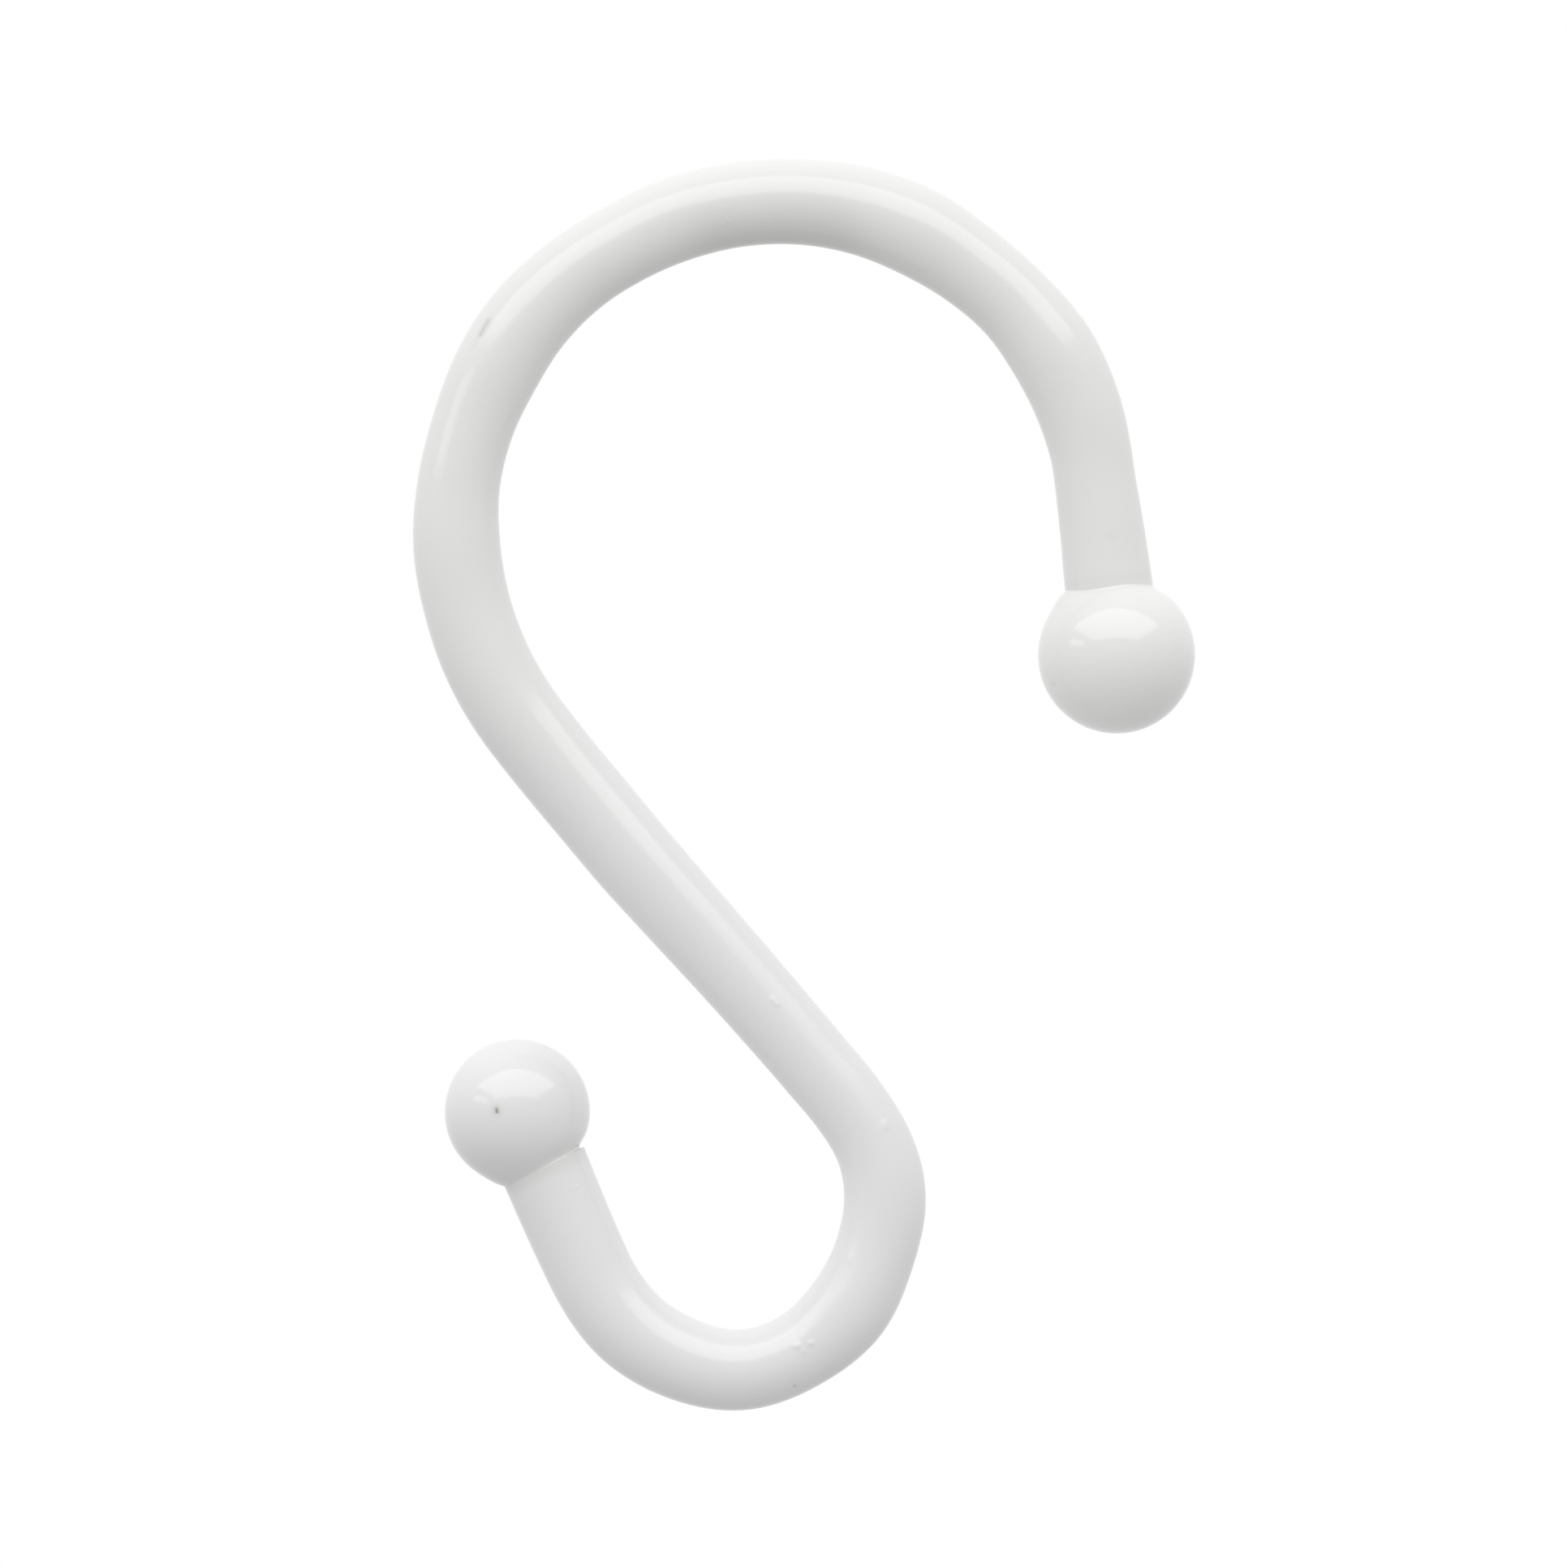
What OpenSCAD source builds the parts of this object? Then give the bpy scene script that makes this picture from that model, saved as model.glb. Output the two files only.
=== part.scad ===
// S hook of bent round rod, with a ball pressed on each end.
// It hangs as in use: +Z is up, the S lies in the XZ plane, and the origin is the
// lowest point of the rod's crown, where the hook sits on its rail.
// The rod is set out from the crown both ways. A bend is [radius, angle], with the
// radius taken to the middle of the rod and the angle in degrees. Its straight
// stretches keep a slight bow, as bent rod does.

/* [Rod] */
// Diameter of the rod
rod_d = 5; // [4:0.1:8]

/* [Upper loop] */
// Crown, from its top to the mouth side
crown_front = [19.5, 42.5]; // [5:0.5:60]
// Shoulder, where the rod turns down to the mouth
shoulder = [17.5, 40.5]; // [5:0.5:60]
// Length of the rod's all but straight end above the upper ball
mouth_leg = 7.1; // [1:0.1:20]
// Radius of the slight bow in that end
mouth_bow = 350; // [100:10:1000]
// Crown, from its top to the back
crown_back = [19, 66]; // [5:0.5:90]
// Back of the loop, round to the shank
back = [19.5, 62.5]; // [5:0.5:90]

/* [Shank] */
// Length of the shank between the two loops
shank = 27.4; // [5:0.1:80]
// Radius of the shank's slight bow
shank_bow = 400; // [100:10:1000]

/* [Lower loop] */
// Easy bend that leads out of the shank
lead = [17.5, 12.5]; // [4:0.5:60]
// Tight bend at the outer side of the loop
outer = [8, 40]; // [4:0.5:60]
// Flatter stretch under the outer side
flat = [12, 35]; // [4:0.5:60]
// Bottom of the loop, where the load hangs
bottom = [8, 79]; // [4:0.5:90]
// Easy bend up to the tip
tip_bend = [12, 29.5]; // [4:0.5:60]
// Length of the rod's all but straight end below the lower ball
tip_leg = 6.5; // [1:0.1:20]
// Radius of the slight bow in that end
tip_bow = 100; // [50:10:1000]

/* [Balls] */
// Diameter of the ball at the mouth of the upper loop
upper_ball_d = 9.3; // [7:0.1:16]
// Diameter of the ball at the tip of the lower loop
lower_ball_d = 8.6; // [7:0.1:16]
// Width of the rod's end face that stands out past the seat on the ball
seat_step = 0.15; // [0:0.05:0.5]

/* [Pressed joints] */
// Diameter of the spigot turned on each end of the rod
spigot_d = 3; // [1.5:0.1:4]
// Length of the spigot
spigot_len = 3.6; // [1:0.1:5]
// Width of the bevel at the spigot's tip
spigot_bevel = 0.3; // [0.1:0.1:0.6]
// Space between the spigot and the wall of its bore, on each side
bore_gap = 0.02; // [0.01:0.01:0.1]
// Space between the spigot's tip and the end of the straight bore
bore_end_gap = 0.3; // [0.1:0.1:1]
// Point angle of the drill that made the bore
drill_point = 118; // [90:1:140]

/* [Hidden] */
$fn = 96;

coat_white = [0.95, 0.95, 0.94];
rod_r = rod_d / 2;
seat_r = rod_r - seat_step;
bore_d = spigot_d + 2 * bore_gap;
bore_len = spigot_len + bore_end_gap;
drill_point_len = bore_d / 2 / tan(drill_point / 2);

// A stretch of rod is [radius, angle turned], to the left of its travel at a
// positive angle and to the right at a negative one.
function to_left(bend) = [bend[0], bend[1]];
function to_right(bend) = [bend[0], -bend[1]];

// A slight bow of a given length and radius, to the nearest hundredth of a degree
function bow(length, radius) = [radius, round(length / radius * 18000 / PI) / 100];

// Centre of a stretch that starts at a joint, which is [x, z, heading]
function centre(at, stretch) =
    let(side = sign(stretch[1]))
    [at[0] - side * stretch[0] * sin(at[2]), at[1] + side * stretch[0] * cos(at[2])];

// Joint at the far end of a stretch
function after(at, stretch) =
    let(side = sign(stretch[1]), heading = at[2] + stretch[1], c = centre(at, stretch))
    [c[0] + side * stretch[0] * sin(heading), c[1] - side * stretch[0] * cos(heading), heading];

// Every joint of a run of stretches, from its start to its last end
function joints(at, stretches, i = 0) =
    i == len(stretches)
    ? [at]
    : concat([at], joints(after(at, stretches[i]), stretches, i + 1));

crown_to_mouth = [
    to_right(crown_front), to_right(shoulder), to_left(bow(mouth_leg, mouth_bow))
];
crown_to_tip = [
    to_left(crown_back), to_left(back), to_left(bow(shank, shank_bow)),
    to_right(lead), to_right(outer), to_right(flat), to_right(bottom), to_right(tip_bend),
    to_right(bow(tip_leg, tip_bow))
];
mouth_joints = joints([0, rod_r, 0], crown_to_mouth);
tip_joints = joints([0, rod_r, 180], crown_to_tip);
mouth_end = mouth_joints[len(crown_to_mouth)];
tip_end = tip_joints[len(crown_to_tip)];

// Moves to a point in the plane of the S, in whole hundredths of a millimetre and
// then by the rest, so that no digit is lost and the stretches meet face to face
module place(x, z) {
    near_x = round(x * 100) / 100;
    near_z = round(z * 100) / 100;
    translate([near_x, 0, near_z])
        translate([x - near_x, 0, z - near_z])
            children();
}

// Turns +Z along the heading of a joint, with the joint as origin
module at_joint(joint) {
    place(joint[0], joint[1])
        rotate([0, 90 - joint[2], 0])
            children();
}

// One stretch, as part of a ring round its centre
module rod_stretch(from, stretch) {
    c = centre(from, stretch);
    start = stretch[1] > 0 ? from[2] - 90 : from[2] + 90 + stretch[1];
    place(c[0], c[1])
        rotate([90, 0, 0])
            rotate_extrude(angle = abs(stretch[1]), start = start)
                translate([stretch[0], 0])
                    circle(d = rod_d);
}

module rod_run(joints, stretches) {
    for (i = [0 : len(stretches) - 1])
        rod_stretch(joints[i], stretches[i]);
}

// Spigot rooted in the rod, with a bevelled tip that leads it into its bore
module spigot() {
    root = rod_r;
    translate([0, 0, -root])
        cylinder(d = spigot_d, h = root + spigot_len - spigot_bevel);
    translate([0, 0, spigot_len - spigot_bevel])
        cylinder(d1 = spigot_d, d2 = spigot_d - 2 * spigot_bevel, h = spigot_bevel);
}

module hook_rod() {
    color(coat_white) {
        rod_run(mouth_joints, crown_to_mouth);
        rod_run(tip_joints, crown_to_tip);
        at_joint(mouth_end) spigot();
        at_joint(tip_end) spigot();
    }
}

// Ball with a flat seat faced on it and a blind drilled bore, seated at z = 0
module drilled_ball(ball_d) {
    seat_depth = sqrt(pow(ball_d / 2, 2) - pow(seat_r, 2));
    color(coat_white)
        difference() {
            translate([0, 0, seat_depth]) sphere(d = ball_d);
            translate([0, 0, -ball_d]) cylinder(d = ball_d, h = ball_d);
            cylinder(d = bore_d, h = bore_len);
            translate([0, 0, bore_len]) cylinder(d1 = bore_d, d2 = 0, h = drill_point_len);
        }
}

module upper_ball() {
    at_joint(mouth_end) drilled_ball(upper_ball_d);
}

module lower_ball() {
    at_joint(tip_end) drilled_ball(lower_ball_d);
}

hook_rod();
upper_ball();
lower_ball();
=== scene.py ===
# %% [markdown]
# # A white coated S hook
# The real thing is a length of steel rod bent to an S, with a drilled ball pressed on each end and a
# thick gloss coat sprayed over all three. The CAD model already holds the exact rod and balls. What it
# lacks is the coat: how it softens each corner, wanders a little in thickness, and carries small marks.
# So each piece gets a skin here, worked out with numpy, and the steel underneath is hidden.

# %% Load the frame
import math

import bpy
import numpy as np
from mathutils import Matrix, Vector


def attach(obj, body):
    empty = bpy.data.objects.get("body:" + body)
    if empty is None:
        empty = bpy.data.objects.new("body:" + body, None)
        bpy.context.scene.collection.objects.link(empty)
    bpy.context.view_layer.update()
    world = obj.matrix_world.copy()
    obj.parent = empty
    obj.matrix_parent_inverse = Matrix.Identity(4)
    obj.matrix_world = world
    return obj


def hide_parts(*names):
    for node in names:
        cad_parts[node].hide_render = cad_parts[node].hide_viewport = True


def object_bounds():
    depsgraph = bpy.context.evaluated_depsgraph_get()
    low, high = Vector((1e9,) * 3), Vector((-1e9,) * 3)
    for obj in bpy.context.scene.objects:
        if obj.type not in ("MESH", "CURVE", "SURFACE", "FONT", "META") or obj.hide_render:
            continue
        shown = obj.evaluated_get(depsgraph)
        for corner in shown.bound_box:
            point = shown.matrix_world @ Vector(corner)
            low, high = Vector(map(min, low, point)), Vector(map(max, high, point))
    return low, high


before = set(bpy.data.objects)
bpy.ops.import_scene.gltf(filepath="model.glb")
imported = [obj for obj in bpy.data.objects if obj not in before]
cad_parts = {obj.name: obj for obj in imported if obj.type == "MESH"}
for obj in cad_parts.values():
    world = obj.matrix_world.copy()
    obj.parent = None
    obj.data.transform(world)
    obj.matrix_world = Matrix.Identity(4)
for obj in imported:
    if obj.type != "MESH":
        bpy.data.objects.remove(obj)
cad_low, cad_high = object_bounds()
print("CAD box in mm:", [round(v * 1000, 2) for v in (*cad_low, *cad_high)])

# %% [markdown]
# ## The rod's middle line
# A wire former sets a rod out as a list of bends. Each bend is a radius, taken to the middle of the
# rod, and the angle it turns, to the left of the travel when positive. The same bends as in the CAD
# source are listed here in millimetres. The stretches that look straight keep a slight bow, because a
# bent rod springs back a little.

# %% The bends, from the crown to each end
ROD_R = 2.5


def bow(length, radius, side):
    """A slight bend of a given length: its angle is the length over the radius, to 0.01 degrees."""
    return (radius, side * round(length / radius * 18000 / math.pi) / 100)


CROWN_TO_MOUTH = [(19.5, -42.5), (17.5, -40.5), bow(7.1, 350, 1)]
CROWN_TO_TIP = [
    (19, 66), (19.5, 62.5), bow(27.4, 400, 1),
    (17.5, -12.5), (8, -40), (12, -35), (8, -79), (12, -29.5), bow(6.5, 100, -1),
]
print("bends:", len(CROWN_TO_MOUTH) + len(CROWN_TO_TIP))

# %% [markdown]
# ## From bends to points
# Along one bend the heading grows evenly, and the place follows from the sine and cosine of the
# heading. So one small loop over the bends finds where each starts, and after that any number of
# points along the rod come out as whole arrays.

# %% Walk the bends


def walk(start, heading, bends):
    """Start place, heading and curvature of each bend, and the place and heading at the end.
    A bend's far end is its start plus (sin, -cos) of the heading, new less old, over curvature."""
    rows, place, along = [], np.array(start, float), 0.0
    for radius, turn in bends:
        curve = math.copysign(1 / radius, turn)
        rows.append((along, *place, heading, curve))
        far = heading + math.radians(turn)
        place = place + np.array(
            [math.sin(far) - math.sin(heading), math.cos(heading) - math.cos(far)]
        ) / curve
        heading = far
        along += radius * abs(math.radians(turn))
    return np.array(rows), place, heading, along


_, mouth_end, mouth_heading, _ = walk((0, ROD_R), 0.0, CROWN_TO_MOUTH)
MOUTH_TO_TIP = [(radius, -turn) for radius, turn in reversed(CROWN_TO_MOUTH)] + CROWN_TO_TIP
BENDS, tip_end, tip_heading, ROD_LENGTH = walk(
    mouth_end, mouth_heading + math.pi, MOUTH_TO_TIP
)


def middle_line(along):
    """Place (x, z) and heading at each distance along the rod, as arrays."""
    row = np.clip(np.searchsorted(BENDS[:, 0], along, side="right") - 1, 0, len(BENDS) - 1)
    start, x, z, heading, curve = np.moveaxis(BENDS[row], -1, 0)
    far = heading + curve * (along - start)
    return (
        x + (np.sin(far) - np.sin(heading)) / curve,
        z + (np.cos(heading) - np.cos(far)) / curve,
        far,
    )


print("rod length in mm:", round(ROD_LENGTH, 2))

# %% [markdown]
# ## The coat's marks
# A close look shows what every coated hook has: nibs where dust sat in the wet coat, pits where a
# bubble broke and a nick that goes down to the metal. A faint grey under the crown, where its inner
# side faces down, is painted shade. Each is written as its place seen from the front, a stroke from
# one (x, z) to another in millimetres, with its radius and its height, which is negative for a pit. The
# last number says how dark it looks. The surface itself says how deep in y it lies.

# %% Marks on the rod and the balls
ROD_MARKS = {
    "nick": ((-17.74, -5.42), (-17.29, -4.66), 0.25, -0.03, 0.24),
    "nick_end": ((-18.14, -6.14), (-17.90, -5.75), 0.26, -0.006, 0.05),
    # Painted shade on the crown's underside, where its inner side faces down.
    "crown_underside_painted_shade": ((-3.2, 0.35), (3.0, 0.35), 2.75, 0.0, 0.11),
    "bottom_pit": ((0.99, -67.95), (1.00, -67.96), 0.14, -0.04, 0.32),
    "bottom_nib": ((1.03, -65.51), (1.16, -65.49), 0.20, 0.05, 0.0),
    "bottom_nib_2": ((1.85, -65.36), (2.02, -65.34), 0.17, 0.045, 0.0),
    "bottom_nib_3": ((1.45, -65.80), (1.48, -65.83), 0.15, 0.03, 0.0),
    "shank_nib": ((-0.35, -44.90), (-0.10, -45.25), 0.16, 0.045, 0.0),
    "outer_nib": ((6.32, -52.38), (6.36, -52.50), 0.24, 0.04, 0.0),
    "outer_nib_2": ((4.26, -60.20), (4.22, -60.50), 0.20, 0.04, 0.0),
    "leg_spot": ((19.88, -17.62), (19.70, -17.40), 0.26, -0.008, 0.03),
}
UPPER_BALL_MARKS = {"side_spot": ((16.37, -26.24), (16.40, -26.24), 0.14, -0.02, 0.14)}
LOWER_BALL_MARKS = {
    "burst": ((-16.71, -51.45), (-16.68, -51.59), 0.15, -0.05, 0.72),
    "burst_rim": ((-16.71, -51.46), (-16.69, -51.56), 0.36, 0.01, 0.22),
}
print("marks:", len(ROD_MARKS) + len(UPPER_BALL_MARKS) + len(LOWER_BALL_MARKS))

# %% [markdown]
# ## Grids that crowd round the marks
# A mark a third of a millimetre wide needs a fine mesh, and the rest of the hook doesn't. So the rows
# of the grid are spaced by a density: one everywhere, and higher in a bell round each mark. Dividing
# the running total of that density evenly gives the places of the rows.

# %% Spacing of the rows
FINE_STEPS = 6000


def crowded(low, high, count, spots, gain, reach):
    """Places from low to high, closer together near spots.
    Density is 1 + gain * the sum of exp(-((t - spot) / reach) ** 2)."""
    fine = np.linspace(low, high, FINE_STEPS)
    bells = np.exp(-(((fine[:, None] - np.asarray(spots)[None, :]) / reach) ** 2))
    density = 1 + gain * bells.sum(axis=1)
    total = np.concatenate(([0.0], np.cumsum((density[1:] + density[:-1]) / 2)))
    return np.interp(np.linspace(0, total[-1], count), total, fine)


# %% [markdown]
# ## From a grid to a mesh
# Every skin here is a grid of points: rings along the piece, and places round each ring. Neighbours
# make the quads. The first and last ring are drawn in to a point each, so that the skin is closed and
# has an inside and an outside. What the material needs to know point by point goes in as attributes.
# The grids are in millimetres and Blender works in metres, so MM scales them as the mesh is made.

# %% Mesh from a grid
MM = 0.001


def capped_tube(name, grid, masks):
    """A closed mesh from a grid of rings, with its first and last ring drawn in to a point.
    grid is rings by places by 3 in mm. Neighbouring rings and places make the quads. Each mask is
    a number per point, which the material reads by its name."""
    rings, around, _ = grid.shape
    points = np.concatenate([grid.reshape(-1, 3), grid[0].mean(0)[None], grid[-1].mean(0)[None]])
    ring, place = np.meshgrid(np.arange(rings - 1), np.arange(around), indexing="ij")
    beside = (place + 1) % around
    quads = np.stack(
        [ring * around + place, ring * around + beside,
         (ring + 1) * around + beside, (ring + 1) * around + place], axis=-1
    ).reshape(-1, 4)
    turn = np.arange(around)
    after = (turn + 1) % around
    first, last = rings * around, rings * around + 1
    start_cap = np.stack([np.full(around, first), after, turn], axis=-1)
    base = (rings - 1) * around
    end_cap = np.stack([np.full(around, last), base + turn, base + after], axis=-1)
    faces = [*quads.tolist(), *start_cap.tolist(), *end_cap.tolist()]
    corner = points[quads]
    outward = np.einsum(
        "ij,ij->", corner[:, 0], np.cross(corner[:, 1] - corner[:, 0], corner[:, 2] - corner[:, 0])
    )
    if outward < 0:
        faces = [face[::-1] for face in faces]
    mesh = bpy.data.meshes.new(name)
    mesh.from_pydata((points * MM).tolist(), [], faces)
    mesh.update()
    mesh.polygons.foreach_set("use_smooth", np.ones(len(mesh.polygons), bool))
    for label, mask in masks.items():
        values = np.concatenate([mask.ravel(), [mask[0].mean(), mask[-1].mean()]])
        mesh.attributes.new(label, "FLOAT", "POINT").data.foreach_set(
            "value", values.astype(np.float32)
        )
    piece = bpy.data.objects.new(name, mesh)
    bpy.context.scene.collection.objects.link(piece)
    print(name, len(mesh.polygons), "faces")
    return piece


# %% [markdown]
# ## How a mark changes the surface
# A mark is a short stroke between two points on the surface. A point of the skin moves along its
# normal by the mark's height times a bell of its distance from the stroke. The same bell, a little
# narrower, is kept as a tone that the material darkens.

# %% Marks as a function of distance
TONE_REACH = 0.8
BEHIND = 100


def on_surface(skin, place):
    """The point of a skin's front side that is nearest to a place seen from the front. A point on
    the back counts as BEHIND millimetres further away."""
    points = skin.reshape(-1, 3)
    off = np.hypot(points[:, 0] - place[0], points[:, 2] - place[1])
    return np.argmin(off + BEHIND * (points[:, 1] > 0))


def apply_marks(skin, normals, marks):
    """Skin moved by every mark, and the dark tone that the marks leave. The bell is
    exp(-(distance / radius) ** 2), and the tone is the same bell at TONE_REACH of the radius."""
    tone = np.zeros(skin.shape[:2])
    moved = np.zeros(skin.shape[:2])
    for start, end, radius, height, dark in marks.values():
        a, b = (skin.reshape(-1, 3)[on_surface(skin, p)] for p in (start, end))
        span = b - a
        share = np.clip((skin - a) @ span / max(span @ span, 1e-9), 0, 1)
        distance = np.linalg.norm(skin - a - share[..., None] * span, axis=-1)
        bell = np.exp(-((distance / radius) ** 2))
        moved += height * bell
        tone = np.maximum(tone, dark * np.exp(-((distance / (TONE_REACH * radius)) ** 2)))
    return skin + normals * moved[..., None], tone


# %% [markdown]
# ## The coat on the rod
# The coat's outside is a tube whose width wanders between 4.6 and 5.4 millimetres: it is thick where
# the wet coat gathered and thin where it drained off the lower shank. It gathers more on one side than
# on the other, so the two sides have a list each: how far the coat stands from the rod's middle line,
# at even steps from the mouth to the tip. Both lists are a least-squares fit to the outline in the
# photograph, rounded to a hundredth of a millimetre. A smooth cubic joins the steps, because straight
# lines between them would show in the gloss as creases.

# %% The coat's two sides
COAT_LEFT = np.array([
    2.59, 2.42, 2.39, 2.54, 2.64, 2.52, 2.58, 2.62, 2.55, 2.50, 2.53, 2.57, 2.56, 2.46, 2.49,
    2.56, 2.40, 2.33, 2.48, 2.51, 2.55, 2.54, 2.49, 2.51, 2.54, 2.56, 2.55, 2.51, 2.43, 2.30,
    2.33, 2.52, 2.53, 2.77, 2.50, 2.59, 2.52, 2.67, 2.54, 2.49, 2.51,
])
COAT_RIGHT = np.array([
    2.65, 2.60, 2.45, 2.58, 2.64, 2.43, 2.43, 2.74, 2.74, 2.61, 2.51, 2.48, 2.36, 2.52, 2.69,
    2.65, 2.50, 2.60, 2.73, 2.69, 2.71, 2.70, 2.70, 2.68, 2.64, 2.50, 2.35, 2.28, 2.27, 2.37,
    2.33, 2.36, 2.31, 2.32, 2.24, 2.24, 2.46, 2.41, 2.53, 2.68, 2.78,
])


def smooth_steps(along, values):
    """Catmull-Rom curve through values at even steps along the rod. Between low and high, with
    their neighbours before and beyond, and t the share of the step, it is low + t / 2 * (high -
    before + t * (2 before - 5 low + 4 high - beyond + t * (3 low - 3 high + beyond - before)))."""
    place = np.clip(along / ROD_LENGTH, 0, 1) * (len(values) - 1)
    row = np.minimum(place.astype(int), len(values) - 2)
    t = place - row
    padded = np.concatenate([values[:1], values, values[-1:]])
    before, low, high, beyond = (padded[row + k] for k in range(4))
    cubic = 3 * (low - high) + beyond - before
    square = 2 * before - 5 * low + 4 * high - beyond
    return low + t / 2 * (high - before + t * (square + t * cubic))


def coat_sides(along):
    """Half width of the coat, and how far its middle leans to the left of the rod's."""
    left, right = smooth_steps(along, COAT_LEFT), smooth_steps(along, COAT_RIGHT)
    return (left + right) / 2, (left - right) / 2


width = 2 * coat_sides(np.linspace(0, ROD_LENGTH, 1000))[0]
print("coat width in mm:", width.min().round(2), "to", width.max().round(2))

# %% [markdown]
# ## Waves, seams and shade
# A few slow waves in the coat keep the highlight from being ruled straight. Where rod and ball meet,
# the seam is no clean ring. The wet coat crept along the rod, so the seam slants and waves a little.
# Both skins are moved by the same creep, so they still meet. A soft ring of painted shade lies
# beside each seam: the shade that falls in the corner between rod and ball. A seam is written as its
# slope and its wave, and a painted shade as the place of its middle, its reach and its depth.

# %% Waves, seams and shade
WAVE = 0.006
MOUTH_SEAM, TIP_SEAM = (0.072, -0.10), (-0.067, 0.0)
SEAM_REACH = 0.7
# Rings of painted shade beside the mouth's seam and the tip's seam, for the shade in the corner.
MOUTH_PAINTED_SHADE, TIP_PAINTED_SHADE = (0.4, 0.35, 0.05), (0.1, 0.45, 0.11)


def slow_waves(along, angle):
    """Unevenness of the coat in mm: WAVE times a sum of sines along and round the rod, which dies
    out within a millimetre or two of each end, so that rod and ball meet on a true ring."""
    off_end = np.minimum(along, ROD_LENGTH - along)
    return WAVE * (1 - np.exp(-(off_end**2))) * (
        np.sin(along / 1.9 + 2 * np.sin(angle)) + np.sin(along / 3.1 + 1.3 + np.cos(angle) * 1.5)
        + 0.8 * np.sin(along / 1.15 + 3 * angle)
    )


def seam_creep(off, across, seam):
    """How far the coat creeps along the rod at a joint, off it and to the left of its middle:
    (slope * across + wave * sin(pi * across / ROD_R)) * exp(-(off / SEAM_REACH) ** 2)."""
    slope, wave = seam
    creep = slope * across + wave * np.sin(np.pi * across / ROD_R)
    return creep * np.exp(-((off / SEAM_REACH) ** 2))


def painted_seam_shade(off, shade):
    """Painted shade in the corner at a seam: depth * exp(-((off - middle) / reach) ** 2)."""
    middle, reach, depth = shade
    return depth * np.exp(-(((off - middle) / reach) ** 2))


# %% [markdown]
# ## Where the coat dried dull
# On the lower shank the coat drained thin and dried duller. A mask says so for the material: 0 where
# the gloss is full and 1 where it is dull. A station is a distance from the mouth's end of the rod and
# the mask's value there, and the mask eases from one to the next.

# %% The dull mask
DULL_STATIONS = np.array([(0, 0), (86, 0), (98, 0.8), (106, 1), (114, 1), (121, 0), (144.9, 0)])


def blend_stations(along, stations):
    """Value between stations, eased at both: low + (high - low) * (1 - cos(pi * share)) / 2."""
    row = np.clip(np.searchsorted(stations[:, 0], along) - 1, 0, len(stations) - 2)
    low, high = stations[row], stations[row + 1]
    share = np.clip((along - low[..., 0]) / (high[..., 0] - low[..., 0]), 0, 1)
    return low[..., 1] + (high[..., 1] - low[..., 1]) * (1 - np.cos(np.pi * share)) / 2


# %% [markdown]
# ## The rod's skin
# Now the tube itself: rings square to the middle line, as wide as the coat and moved to the side as
# far as it leans. Each end turns in over a tiny rounded edge, because a coat can't hold a sharp one.
# A rough grid finds where the marks lie, and the real grid then has more rows there.

# %% Skin of the rod
END_EDGE, EDGE_ROWS = 0.014, 6
RINGS, AROUND = 700, 112
ROUGH_ALONG, ROUGH_AROUND = 1500, 180


def rod_skin(along, angle):
    """Tube points and normals: middle line + lean left + half width * (cos(angle) front +
    sin(angle) left). Near each end the half width follows a quarter circle of END_EDGE, and the
    seam with the ball creeps along the rod as in seam_creep."""
    s, a = np.meshgrid(along, angle, indexing="ij")
    near_end = np.clip(END_EDGE - np.minimum(s, ROD_LENGTH - s), 0, END_EDGE)
    inset = END_EDGE - np.sqrt(END_EDGE**2 - near_end**2)
    half, lean = coat_sides(s)
    radius = half + slow_waves(s, a) - inset
    x, z, heading = middle_line(s)
    left = np.stack([-np.sin(heading), np.zeros_like(x), np.cos(heading)], axis=-1)
    normals = np.sin(a)[..., None] * left - np.cos(a)[..., None] * np.array([0.0, 1.0, 0.0])
    middle = np.stack([x, np.zeros_like(x), z], axis=-1) + lean[..., None] * left
    across = radius * np.sin(a) + lean
    creep = seam_creep(s, across, MOUTH_SEAM) + seam_creep(ROD_LENGTH - s, across, TIP_SEAM)
    ahead = np.stack([np.cos(heading), np.zeros_like(x), np.sin(heading)], axis=-1)
    return middle + radius[..., None] * normals + creep[..., None] * ahead, normals


def spots_on_rod(marks):
    """Distances along the rod and angles round it at which the marks lie."""
    along = np.linspace(0, ROD_LENGTH, ROUGH_ALONG)
    angle = np.linspace(-np.pi, np.pi, ROUGH_AROUND)
    rough, _ = rod_skin(along, angle)
    found = [divmod(on_surface(rough, p), len(angle)) for m in marks.values() for p in m[:2]]
    return along[[f[0] for f in found]], angle[[f[1] for f in found]]


mark_along, mark_angle = spots_on_rod(ROD_MARKS)
edge = np.linspace(0, END_EDGE, EDGE_ROWS)
inner = crowded(
    END_EDGE, ROD_LENGTH - END_EDGE, RINGS - 2 * (EDGE_ROWS - 1), mark_along, gain=5.0, reach=0.7
)
along = np.concatenate([edge[:-1], inner, ROD_LENGTH - edge[-2::-1]])
angle = crowded(-np.pi, np.pi, AROUND + 1, mark_angle, gain=0.5, reach=0.25)[:-1]
skin, normals = rod_skin(along, angle)
skin, tone = apply_marks(skin, normals, ROD_MARKS)
# Painted shade beside both seams joins the marks' tone.
ring = painted_seam_shade(along, MOUTH_PAINTED_SHADE) + painted_seam_shade(ROD_LENGTH - along, TIP_PAINTED_SHADE)
tone = np.maximum(tone, ring[:, None])
dull = np.repeat(blend_stations(along, DULL_STATIONS)[:, None], AROUND, axis=1)
rod_coat = capped_tube("hook_rod_coat", skin, {"tone": tone, "dull": dull})
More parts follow.
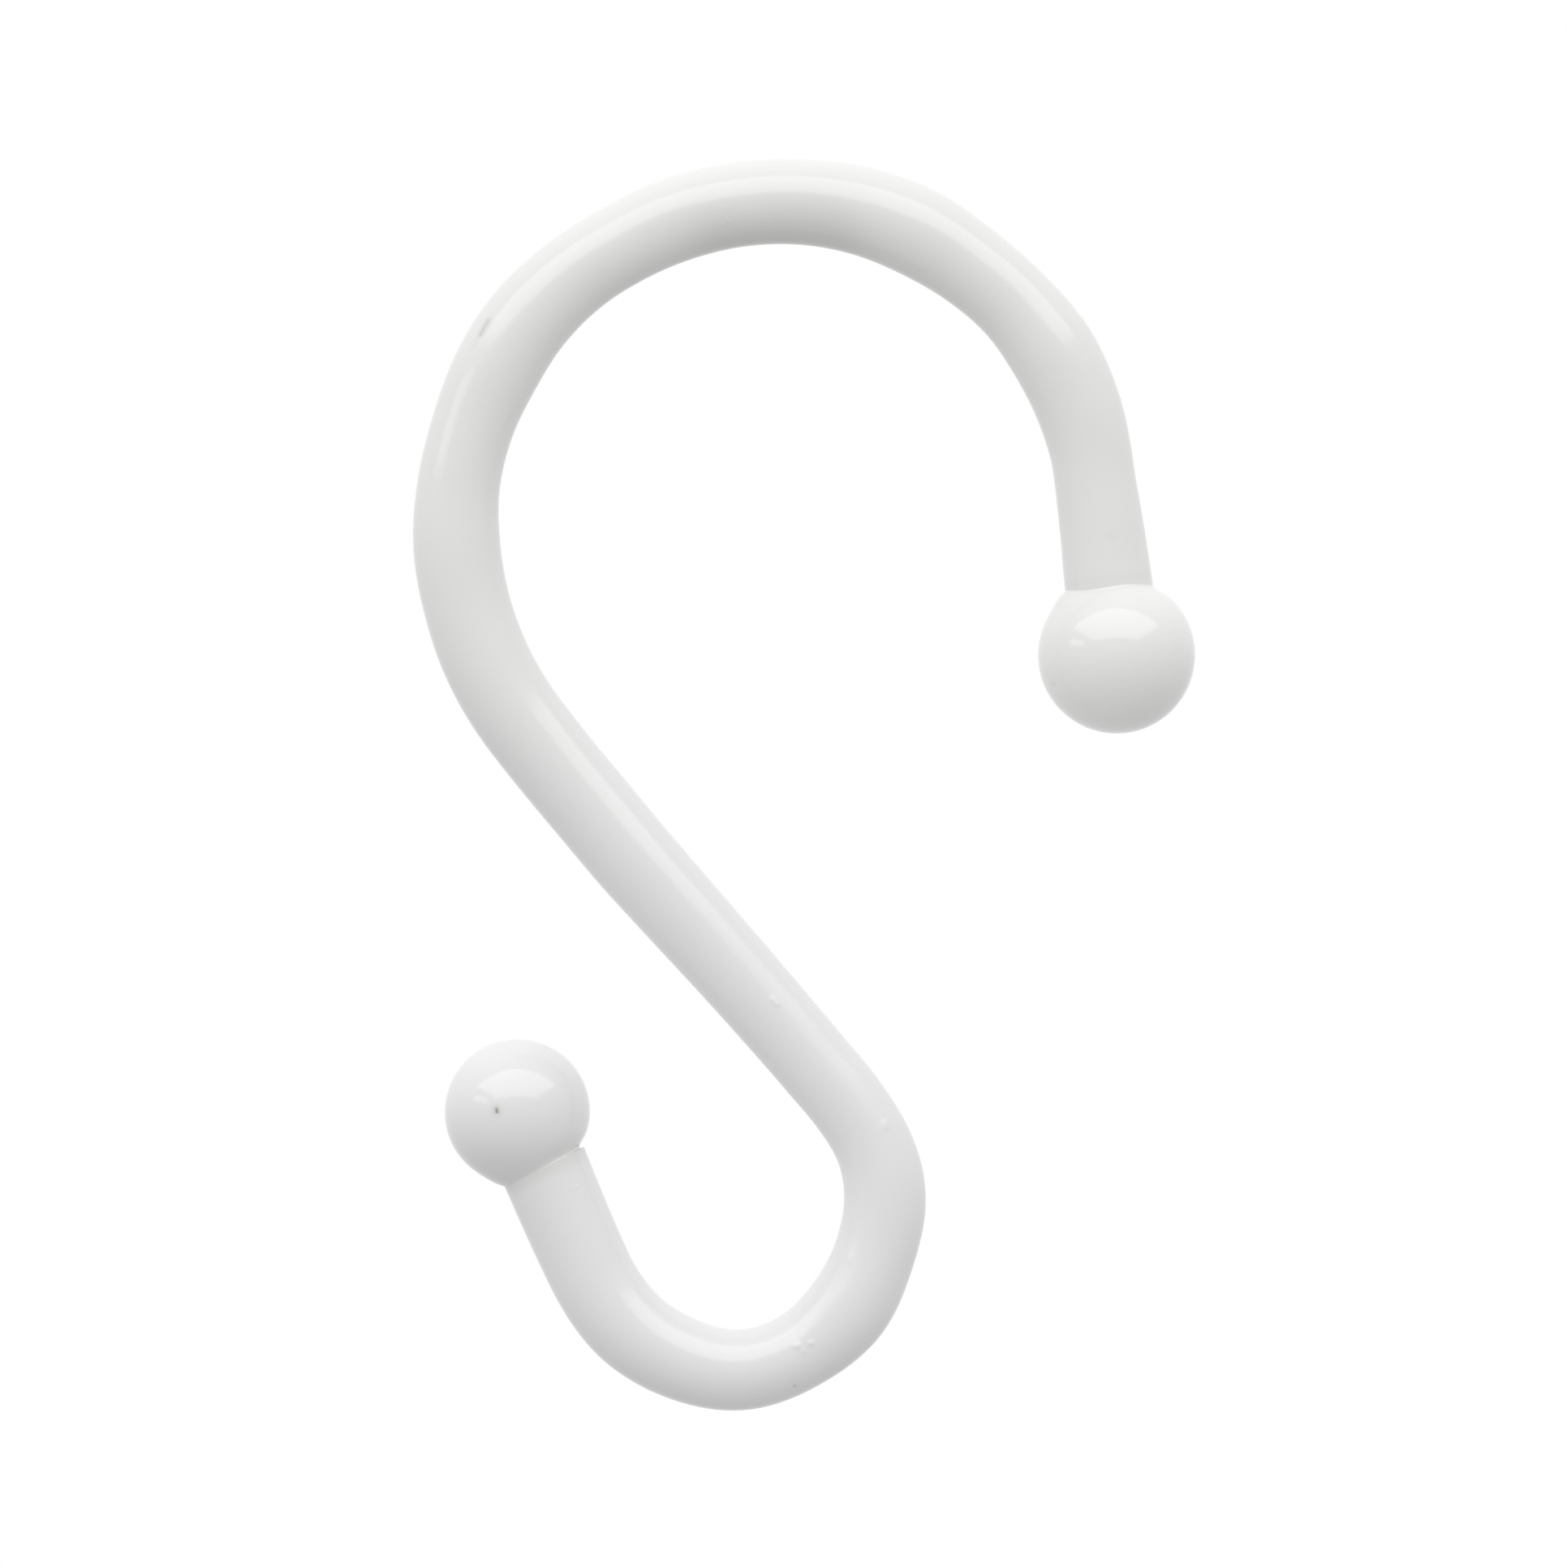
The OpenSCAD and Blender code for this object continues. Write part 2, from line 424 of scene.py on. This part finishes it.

# %% [markdown]
# ## The coat on the balls
# A ball is turned round the rod's own line, so its skin is a profile carried round that line: from the
# far pole over the sphere to the seat, where the coat gathers in the corner as a small soft flare. The
# flare dies away with the distance from the seat, as a fillet does: slowly where the coat filled the
# corner, and fast on the right, where a notch is left beside the rod's end. The coat adds 0.03
# millimetres to the radius, and the coated ball sits a touch off the steel one.
#
# Each ball has a table. Its steel_r is the CAD ball's radius and coat_r the coated one's. Its left and
# ahead say how far the coated ball's middle sits aside and further out. The rest tells of the rod's end
# that it meets: half width, lean, seam, and the ball's own ring of painted shade beside the seam. The
# rod's end face stands out past the ball's flat seat by SEAT_STEP.

# %% The two balls
SEAT_STEP = 0.15
SEAT_R = ROD_R - SEAT_STEP
NO_SHADE = (0.0, 1.0, 0.0)
(mouth_half, tip_half), (mouth_lean, tip_lean) = coat_sides(np.array([0.0, ROD_LENGTH]))
UPPER_BALL = {
    "end": mouth_end, "heading": mouth_heading, "steel_r": 4.65, "coat_r": 4.68,
    "left": -0.095, "ahead": 0.06, "rod_half": mouth_half, "rod_lean": -mouth_lean,
    "seam": MOUTH_SEAM, "shade": NO_SHADE,
}
LOWER_BALL = {
    "end": tip_end, "heading": tip_heading, "steel_r": 4.3, "coat_r": 4.33,
    "left": 0.09, "ahead": 0.04, "rod_half": tip_half, "rod_lean": tip_lean,
    "seam": TIP_SEAM, "shade": (0.3, 0.8, 0.09),
}


def seat_depth(ball):
    """Distance from the rod's end to the middle of the coated ball: the root of steel_r squared
    less SEAT_R squared, and ahead."""
    return math.sqrt(ball["steel_r"] ** 2 - SEAT_R**2) + ball["ahead"]


print("balls off the rod's ends in mm:", [round(seat_depth(b), 2) for b in (UPPER_BALL, LOWER_BALL)])

# %% [markdown]
# ## A ball's skin
# The sphere alone would meet the rod in a hard corner. The flare carries it out to the rod's width at
# the seat, less FLARE_SHY, so that the two skins never lie in one place. The skin then runs on by SUNK
# inside the rod's coat, so that no gap opens at the seam. Its first ring lies POLE radians off the far
# pole. As on the rod, a rough grid finds the marks and the real grid crowds there.

# %% Skin of a ball
FLARE_REACH, FLARE_FULL, FLARE_SHY = 0.08, 0.19, 0.002
SUNK = 0.06
BALL_ROWS, BALL_AROUND = 170, 160
BALL_ROUGH = 300
POLE = 0.02


def ball_skin(ball, polar, angle):
    """Points and normals of a ball seated on the rod's end, which travels along heading. A point
    is the middle + coat_r * (cos(polar) out + sin(polar) * (cos(angle) front + sin(angle) left)).
    A flare exp(-off seat / reach) carries it to the rod's half width and lean at the seat, where
    reach is FLARE_FULL, and FLARE_REACH by a share of ((1 - sin(angle)) / 2) ** 4 on the right. It
    creeps with the seam, and slow waves of WAVE run over it."""
    p, a = np.meshgrid(polar, angle, indexing="ij")
    heading, depth, coat_r = ball["heading"], seat_depth(ball), ball["coat_r"]
    out = np.array([math.cos(heading), 0, math.sin(heading)])
    left = np.array([-math.sin(heading), 0, math.cos(heading)])
    front = np.array([0.0, -1.0, 0.0])
    ring = np.cos(a)[..., None] * front + np.sin(a)[..., None] * left
    normals = np.cos(p)[..., None] * out + np.sin(p)[..., None] * ring
    waves = WAVE * (np.sin(3 * p + 2 * a) + np.sin(2 * p - 3 * a + 1)) * np.sin(p) ** 2
    off_seat = depth + coat_r * np.cos(p)
    reach = FLARE_FULL + (FLARE_REACH - FLARE_FULL) * ((1 - np.sin(a)) / 2) ** 4
    flare = np.exp(-np.maximum(off_seat, 0) / reach)
    wider = ball["rod_half"] - FLARE_SHY - math.sqrt(coat_r**2 - depth**2)
    leaned = ball["left"] + (ball["rod_lean"] - ball["left"]) * flare
    across = (coat_r * np.sin(p) + wider * flare) * np.sin(a) + leaned
    creep = seam_creep(off_seat, across, ball["seam"])
    middle = np.array([ball["end"][0], 0, ball["end"][1]]) + depth * out
    points = middle + (coat_r + waves)[..., None] * normals + wider * flare[..., None] * ring
    return points + leaned[..., None] * left + creep[..., None] * out, normals


def coat_ball(name, ball, marks):
    """A ball's skin as a closed mesh, with its rows crowded at the seat and at the marks, and painted
    shade beside its seam kept in its tone.
    """
    seat = math.acos(-(seat_depth(ball) + SUNK) / ball["coat_r"])
    rough_polar = np.linspace(POLE / 2, seat, BALL_ROUGH)
    rough_turn = np.linspace(-np.pi, np.pi, BALL_ROUGH)
    rough, _ = ball_skin(ball, rough_polar, rough_turn)
    found = [divmod(on_surface(rough, p), BALL_ROUGH) for m in marks.values() for p in m[:2]]
    mark_polar, mark_turn = rough_polar[[f[0] for f in found]], rough_turn[[f[1] for f in found]]
    polar = crowded(POLE, seat, BALL_ROWS, [*mark_polar, seat, seat], gain=6.0, reach=0.08)
    turn = crowded(-np.pi, np.pi, BALL_AROUND + 1, mark_turn, gain=4.0, reach=0.12)[:-1]
    points, outward = ball_skin(ball, polar, turn)
    points, dark = apply_marks(points, outward, marks)
    off = seat_depth(ball) + ball["coat_r"] * np.cos(polar)
    # Painted shade beside the seam: full on the right, half in front, none on the left.
    shade = painted_seam_shade(off, ball["shade"])[:, None] * (1 - np.sin(turn)) / 2
    return capped_tube(name, points, {"tone": np.maximum(dark, shade)})


upper_coat = coat_ball("upper_ball_coat", UPPER_BALL, UPPER_BALL_MARKS)
lower_coat = coat_ball("lower_ball_coat", LOWER_BALL, LOWER_BALL_MARKS)

# %% [markdown]
# ## What the coat looks like
# The coat is a near-white gloss paint, and what breaks up its evenness is the same on the rod and the
# balls. So each effect is a node group with named inputs and outputs, built once and placed in each
# material with its own values. Two small helpers keep the groups short.

# %% Helpers for node groups


def new_group(name, inputs, outputs):
    """An empty shader node group with float inputs (name, default) and (name, type) outputs."""
    group = bpy.data.node_groups.new(name, "ShaderNodeTree")
    for label, default in inputs:
        socket = group.interface.new_socket(label, in_out="INPUT", socket_type="NodeSocketFloat")
        socket.default_value = default
    for label, kind in outputs:
        group.interface.new_socket(label, in_out="OUTPUT", socket_type=kind)
    return group, group.nodes.new("NodeGroupInput"), group.nodes.new("NodeGroupOutput")


def add_node(tree, kind, **settings):
    """A new node with its properties set."""
    node = tree.nodes.new(kind)
    for key, value in settings.items():
        setattr(node, key, value)
    return node


# %% [markdown]
# ## Colour
# White paint is never one white. Faint clouds of a greyer white lie in it, the upper part is tinted
# slightly yellow, more towards the top, and the marks and the painted shade show brown. Blender's Mix
# node has a set of sockets for each kind of value, and MIX_A, MIX_B and MIX_OUT are the numbers of the
# ones for colour.

# %% Colour of the coat
WHITE = (0.881, 0.881, 0.881, 1)
GREY_WHITE = (0.868, 0.868, 0.866, 1)
TOP_TINT = (1.0, 1.0, 0.988, 1)
YELLOW_FROM, YELLOW_TO = -45 * MM, -12 * MM
# The brown of the marks, and of the painted shade at the seams and under the crown.
MARK_AND_SHADE_BROWN = (0.17, 0.155, 0.09, 1)
MIX_A, MIX_B, MIX_OUT = 6, 7, 2


def coat_colour_group():
    """Colour: white, pulled to a greyer white by slow noise, multiplied by a faint yellow more and more
    from YELLOW_FROM up to YELLOW_TO, then pulled to brown by the tone: marks and painted shade."""
    group, given, result = new_group(
        "coat_colour", [("Lightness", 1.0), ("Cloud size", 60.0), ("Cloud strength", 0.6)],
        [("Color", "NodeSocketColor"), ("Cloud", "NodeSocketFloat")],
    )
    place = add_node(group, "ShaderNodeTexCoord")
    cloud = add_node(group, "ShaderNodeTexNoise", noise_dimensions="3D")
    cloud.inputs["Detail"].default_value = 3.0
    amount = add_node(group, "ShaderNodeMath", operation="MULTIPLY")
    clouded = add_node(group, "ShaderNodeMix", data_type="RGBA")
    clouded.inputs[MIX_A].default_value = WHITE
    clouded.inputs[MIX_B].default_value = GREY_WHITE
    parts = add_node(group, "ShaderNodeSeparateXYZ")
    tint_share = add_node(group, "ShaderNodeMapRange", interpolation_type="SMOOTHSTEP")
    tint_share.inputs["From Min"].default_value = YELLOW_FROM
    tint_share.inputs["From Max"].default_value = YELLOW_TO
    tinted = add_node(group, "ShaderNodeMix", data_type="RGBA", blend_type="MULTIPLY")
    tinted.inputs[MIX_B].default_value = TOP_TINT
    tone = add_node(group, "ShaderNodeAttribute", attribute_name="tone")
    marked_and_shaded = add_node(group, "ShaderNodeMix", data_type="RGBA")
    marked_and_shaded.inputs[MIX_B].default_value = MARK_AND_SHADE_BROWN
    lit = add_node(group, "ShaderNodeVectorMath", operation="SCALE")
    link = group.links.new
    link(place.outputs["Object"], cloud.inputs["Vector"])
    link(given.outputs["Cloud size"], cloud.inputs["Scale"])
    link(cloud.outputs["Fac"], amount.inputs[0])
    link(given.outputs["Cloud strength"], amount.inputs[1])
    link(amount.outputs[0], clouded.inputs[0])
    link(place.outputs["Object"], parts.inputs["Vector"])
    link(parts.outputs["Z"], tint_share.inputs["Value"])
    link(tint_share.outputs["Result"], tinted.inputs[0])
    link(clouded.outputs[MIX_OUT], tinted.inputs[MIX_A])
    link(tinted.outputs[MIX_OUT], marked_and_shaded.inputs[MIX_A])
    link(tone.outputs["Fac"], marked_and_shaded.inputs[0])
    link(marked_and_shaded.outputs[MIX_OUT], lit.inputs[0])
    link(given.outputs["Lightness"], lit.inputs["Scale"])
    link(lit.outputs["Vector"], result.inputs["Color"])
    link(cloud.outputs["Fac"], result.inputs["Cloud"])
    return group


coat_colour = coat_colour_group()

# %% [markdown]
# ## Orange peel
# A sprayed coat never levels out quite flat. It keeps fine ripples, like the peel of an orange, far too
# fine to be mesh. Two sizes of smooth noise make them, as a height for a Bump node.

# %% Orange peel
FINER, FINE_SHARE = 3.0, 0.25


def orange_peel_group():
    """Height: noise of Size plus FINE_SHARE of noise FINER times as fine, scaled by Strength."""
    group, given, result = new_group(
        "orange_peel", [("Size", 900.0), ("Strength", 1.0)], [("Height", "NodeSocketFloat")]
    )
    place = add_node(group, "ShaderNodeTexCoord")
    coarse = add_node(group, "ShaderNodeTexNoise", noise_dimensions="3D")
    coarse.inputs["Detail"].default_value = 1.0
    fine = add_node(group, "ShaderNodeTexNoise", noise_dimensions="3D")
    fine.inputs["Detail"].default_value = 2.0
    finer = add_node(group, "ShaderNodeMath", operation="MULTIPLY")
    finer.inputs[1].default_value = FINER
    weak = add_node(group, "ShaderNodeMath", operation="MULTIPLY_ADD")
    weak.inputs[1].default_value = FINE_SHARE
    scaled = add_node(group, "ShaderNodeMath", operation="MULTIPLY")
    link = group.links.new
    link(place.outputs["Object"], coarse.inputs["Vector"])
    link(place.outputs["Object"], fine.inputs["Vector"])
    link(given.outputs["Size"], coarse.inputs["Scale"])
    link(given.outputs["Size"], finer.inputs[0])
    link(finer.outputs[0], fine.inputs["Scale"])
    link(fine.outputs["Fac"], weak.inputs[0])
    link(coarse.outputs["Fac"], weak.inputs[2])
    link(weak.outputs[0], scaled.inputs[0])
    link(given.outputs["Strength"], scaled.inputs[1])
    link(scaled.outputs[0], result.inputs["Height"])
    return group


orange_peel = orange_peel_group()

# %% [markdown]
# ## Dust
# Dust settles in the coat while it is wet, and each speck dries to a small bump, a nib. A Voronoi
# pattern scatters points through space, and a nib shows wherever one lies close to the surface.

# %% Dust nibs


def dust_nibs_group():
    """Height: a soft bump, 1 at its middle, wherever a cell point of a 3D Voronoi pattern lies
    within Reach cells of the surface. Cells are 1 / Density metres wide."""
    group, given, result = new_group(
        "dust_nibs", [("Density", 320.0), ("Reach", 0.05)], [("Height", "NodeSocketFloat")]
    )
    place = add_node(group, "ShaderNodeTexCoord")
    cells = add_node(group, "ShaderNodeTexVoronoi", voronoi_dimensions="3D", feature="F1")
    bump = add_node(group, "ShaderNodeMapRange", interpolation_type="SMOOTHSTEP")
    bump.inputs["To Min"].default_value = 1.0
    bump.inputs["To Max"].default_value = 0.0
    link = group.links.new
    link(place.outputs["Object"], cells.inputs["Vector"])
    link(given.outputs["Density"], cells.inputs["Scale"])
    link(cells.outputs["Distance"], bump.inputs["Value"])
    link(given.outputs["Reach"], bump.inputs["From Max"])
    link(bump.outputs["Result"], result.inputs["Height"])
    return group


dust_nibs = dust_nibs_group()
print("node groups:", [g.name for g in bpy.data.node_groups])

# %% [markdown]
# ## The coat materials
# The shader is a plain one: a near-white base under one gloss layer, whose roughness the clouds vary
# a little. On the lower shank the coat drained thin and dried duller, so the long highlight fades
# out there. The dull mask does that: it adds roughness and takes strength from the reflection. The
# balls were sprayed from all round and took the coat more smoothly than the rod, so their peel is
# finer and their gloss is sharper. Peel and nibs each go through a Bump node, which takes a strength
# and a height in metres: here two and three hundredths of a millimetre.

# %% Materials of the rod and the balls
COAT_IOR = 1.38
PLAIN_SPECULAR = 0.5
DULL_ROUGHER, DULL_SPECULAR = 0.085, 0.3
PEEL_BUMP, PEEL_DEEP = 0.25, 0.00002
NIB_BUMP, NIB_HIGH = 0.8, 0.00003


def coat_material(name, lightness, peel_size, peel_strength, roughness):
    """A gloss coat: group colour, roughness mapped from the clouds and the dull mask, and orange
    peel and nibs as bump."""
    material = bpy.data.materials.new(name)
    material.use_nodes = True
    tree = material.node_tree
    shader = tree.nodes["Principled BSDF"]
    shader.inputs["IOR"].default_value = COAT_IOR
    colour = add_node(tree, "ShaderNodeGroup", node_tree=coat_colour)
    colour.inputs["Lightness"].default_value = lightness
    peel = add_node(tree, "ShaderNodeGroup", node_tree=orange_peel)
    peel.inputs["Size"].default_value = peel_size
    peel.inputs["Strength"].default_value = peel_strength
    rough = add_node(tree, "ShaderNodeMapRange")
    rough.inputs["To Min"].default_value, rough.inputs["To Max"].default_value = roughness
    dull = add_node(tree, "ShaderNodeAttribute", attribute_name="dull")
    rougher = add_node(tree, "ShaderNodeMath", operation="MULTIPLY_ADD")
    rougher.inputs[1].default_value = DULL_ROUGHER
    weaker = add_node(tree, "ShaderNodeMapRange")
    weaker.inputs["To Min"].default_value = PLAIN_SPECULAR
    weaker.inputs["To Max"].default_value = DULL_SPECULAR
    bump = add_node(tree, "ShaderNodeBump")
    bump.inputs["Strength"].default_value = PEEL_BUMP
    bump.inputs["Distance"].default_value = PEEL_DEEP
    nibs = add_node(tree, "ShaderNodeGroup", node_tree=dust_nibs)
    nib_bump = add_node(tree, "ShaderNodeBump")
    nib_bump.inputs["Strength"].default_value = NIB_BUMP
    nib_bump.inputs["Distance"].default_value = NIB_HIGH
    link = tree.links.new
    link(colour.outputs["Color"], shader.inputs["Base Color"])
    link(colour.outputs["Cloud"], rough.inputs["Value"])
    link(dull.outputs["Fac"], rougher.inputs[0])
    link(rough.outputs["Result"], rougher.inputs[2])
    link(rougher.outputs[0], shader.inputs["Roughness"])
    link(dull.outputs["Fac"], weaker.inputs["Value"])
    link(weaker.outputs["Result"], shader.inputs["Specular IOR Level"])
    link(peel.outputs["Height"], bump.inputs["Height"])
    link(bump.outputs["Normal"], nib_bump.inputs["Normal"])
    link(nibs.outputs["Height"], nib_bump.inputs["Height"])
    link(nib_bump.outputs["Normal"], shader.inputs["Normal"])
    return material


rod_paint = coat_material(
    "rod_coat", lightness=1.0, peel_size=800.0, peel_strength=1.0, roughness=(0.13, 0.18)
)
# The upper ball's paint is 3.5 percent lighter: painted light, for the brighter light on that ball.
upper_paint_with_painted_light = coat_material(
    "upper_ball_coat", lightness=1.035, peel_size=1100.0, peel_strength=0.8, roughness=(0.08, 0.12)
)
lower_paint = coat_material(
    "lower_ball_coat", lightness=1.0, peel_size=1100.0, peel_strength=0.8, roughness=(0.08, 0.12)
)
print("materials:", [m.name for m in (rod_paint, upper_paint_with_painted_light, lower_paint)])

# %% [markdown]
# ## Dress the pieces
# Each skin gets its paint and takes the place of the CAD piece that it covers. The hook has one body,
# so all three ride on it.

# %% Dress the pieces
for piece, paint, node in (
    (rod_coat, rod_paint, "hook_rod"),
    (upper_coat, upper_paint_with_painted_light, "upper_ball"),
    (lower_coat, lower_paint, "lower_ball"),
):
    piece.data.materials.append(paint)
    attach(piece, "root")
    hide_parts(node)
    print(piece.name, "replaces", node)

# %% [markdown]
# ## The surround
# The photograph shows plain white all round the hook, and no floor or shadow. So the surround is white
# wherever the camera or the gloss of the coat sees it. What it lends to the body of the paint is
# weaker: a pale room, brighter above than below, and a little brighter on the left.

# %% World
ROOM = 0.725
ROOM_SLOPE = (-0.05, -0.11, 0.52)


def shared_world():
    """White of strength 1 for camera, gloss and transmission rays. For the rest, the radiance
    is ROOM + the dot product of ROOM_SLOPE and the ray's direction."""
    world = bpy.data.worlds.new("white_room")
    world.use_nodes = True
    tree = world.node_tree
    tree.nodes.clear()
    seen = add_node(tree, "ShaderNodeLightPath")
    camera_or_gloss = add_node(tree, "ShaderNodeMath", operation="MAXIMUM")
    any_seen = add_node(tree, "ShaderNodeMath", operation="MAXIMUM")
    place = add_node(tree, "ShaderNodeTexCoord")
    slope = add_node(tree, "ShaderNodeVectorMath", operation="DOT_PRODUCT")
    slope.inputs[1].default_value = ROOM_SLOPE
    level = add_node(tree, "ShaderNodeMath", operation="ADD")
    level.inputs[1].default_value = ROOM
    room = add_node(tree, "ShaderNodeBackground")
    white = add_node(tree, "ShaderNodeBackground")
    for surround in (room, white):
        surround.inputs["Color"].default_value = (1, 1, 1, 1)
    mixed = add_node(tree, "ShaderNodeMixShader")
    ends = add_node(tree, "ShaderNodeOutputWorld")
    link = tree.links.new
    link(seen.outputs["Is Camera Ray"], camera_or_gloss.inputs[0])
    link(seen.outputs["Is Glossy Ray"], camera_or_gloss.inputs[1])
    link(camera_or_gloss.outputs[0], any_seen.inputs[0])
    link(seen.outputs["Is Transmission Ray"], any_seen.inputs[1])
    link(place.outputs["Generated"], slope.inputs[0])
    link(slope.outputs["Value"], level.inputs[0])
    link(level.outputs[0], room.inputs["Strength"])
    link(any_seen.outputs[0], mixed.inputs[0])
    link(room.outputs[0], mixed.inputs[1])
    link(white.outputs[0], mixed.inputs[2])
    link(mixed.outputs[0], ends.inputs["Surface"])
    return world


bpy.context.scene.world = shared_world()
print("world:", bpy.context.scene.world.name)

# %% [markdown]
# ## Light
# The gloss shows two things. A wide soft box lies level above the hook and in front of it: its near
# edge draws the sharp lower edge of the long highlight on the crown, and its width sets how far the
# highlight spreads across each ball. Its edges BOX_X and BOX_Y are written per metre of its height
# BOX_UP, so it can hang higher or lower and still look the same in the gloss. A small window on the
# left, not much higher than the hook, makes the faint patch beside that highlight. Both lamps are seen
# by the gloss alone, and the room lights the body of the paint, so each can be set by what it shows in
# the photograph. Two small pale cards are added to the room, close under the lower loop and close under
# the upper ball. The gloss doesn't see them, and they lift the shade there. A lamp's radiance is set
# directly: its power is radiance times pi times its area.

# %% The soft box, the window and the cards
BOX_UP = 0.6
BOX_X, BOX_Y = (-1.6, 1.42), (-2.2, -0.33)
BOX_RADIANCE = 2.65
WINDOW_AT = (-0.765, -0.40, 0.25)
WINDOW_W, WINDOW_H, WINDOW_RADIANCE = 0.40, 0.12, 2.4
LOOP_CARD = ("loop_card", (-0.001, 0.0, -0.0894), 0.030, 0.17)
BALL_CARD = ("ball_card", (0.0201, 0.0, -0.0370), 0.010, 0.32)
LAMP_COLOUR = (1.0, 1.0, 0.99)


def soft_lamp(name, place, facing, width, height, radiance):
    """A rectangular lamp. Power is radiance * pi * width * height."""
    lamp = bpy.data.lights.new(name, "AREA")
    lamp.shape = "RECTANGLE"
    lamp.size, lamp.size_y = width, height
    lamp.energy = radiance * math.pi * width * height
    lamp.color = LAMP_COLOUR
    holder = bpy.data.objects.new(name, lamp)
    holder.location = place
    holder.rotation_euler = Vector(facing).to_track_quat("-Z", "Y").to_euler()
    bpy.context.scene.collection.objects.link(holder)
    return holder


middle = (Vector(cad_low) + Vector(cad_high)) / 2
box_off = Vector((sum(BOX_X) / 2, sum(BOX_Y) / 2, 1.0)) * BOX_UP
box = soft_lamp("ceiling_box", middle + box_off, (0, 0, -1), BOX_UP * np.ptp(BOX_X),
                BOX_UP * np.ptp(BOX_Y), BOX_RADIANCE)
window = soft_lamp("low_window", middle + Vector(WINDOW_AT), -Vector(WINDOW_AT), WINDOW_W,
                   WINDOW_H, WINDOW_RADIANCE)
box.visible_diffuse = window.visible_diffuse = False
for name, place, side, radiance in (LOOP_CARD, BALL_CARD):
    card = soft_lamp(name, place, (0, 0, 1), side, side, radiance)
    card.visible_glossy = card.visible_camera = False

# %% [markdown]
# ## Camera
# The photograph looks straight along +Y with no visible perspective, so a long lens stands a metre
# away. One pixel of the 1931 by 1932 picture is 5 mm of rod over 103.5 pixels.

# %% Camera
PICTURE_W, PICTURE_H = 1931, 1932
ROD_PX = 103.5
PIXEL = 2 * ROD_R / ROD_PX * MM
CROWN_PX = (960.0, 300.0)
CROWN_SHIFT = (0.043 * MM, 0.036 * MM)
CAMERA_AWAY = 1.0
SENSOR = 36.0

camera_data = bpy.data.cameras.new("camera")
camera_data.sensor_width = SENSOR
camera_data.lens = SENSOR * CAMERA_AWAY / (PICTURE_H * PIXEL)
camera_data.clip_start, camera_data.clip_end = 0.01, 20.0
camera = bpy.data.objects.new("camera", camera_data)
camera.location = (
    (PICTURE_W / 2 - CROWN_PX[0]) * PIXEL + CROWN_SHIFT[0],
    -CAMERA_AWAY,
    (CROWN_PX[1] - PICTURE_H / 2) * PIXEL + CROWN_SHIFT[1],
)
camera.rotation_euler = (math.pi / 2, 0, 0)
bpy.context.scene.collection.objects.link(camera)
bpy.context.scene.camera = camera
bpy.context.scene.view_settings.view_transform = "Standard"
print("lens in mm:", round(camera_data.lens))
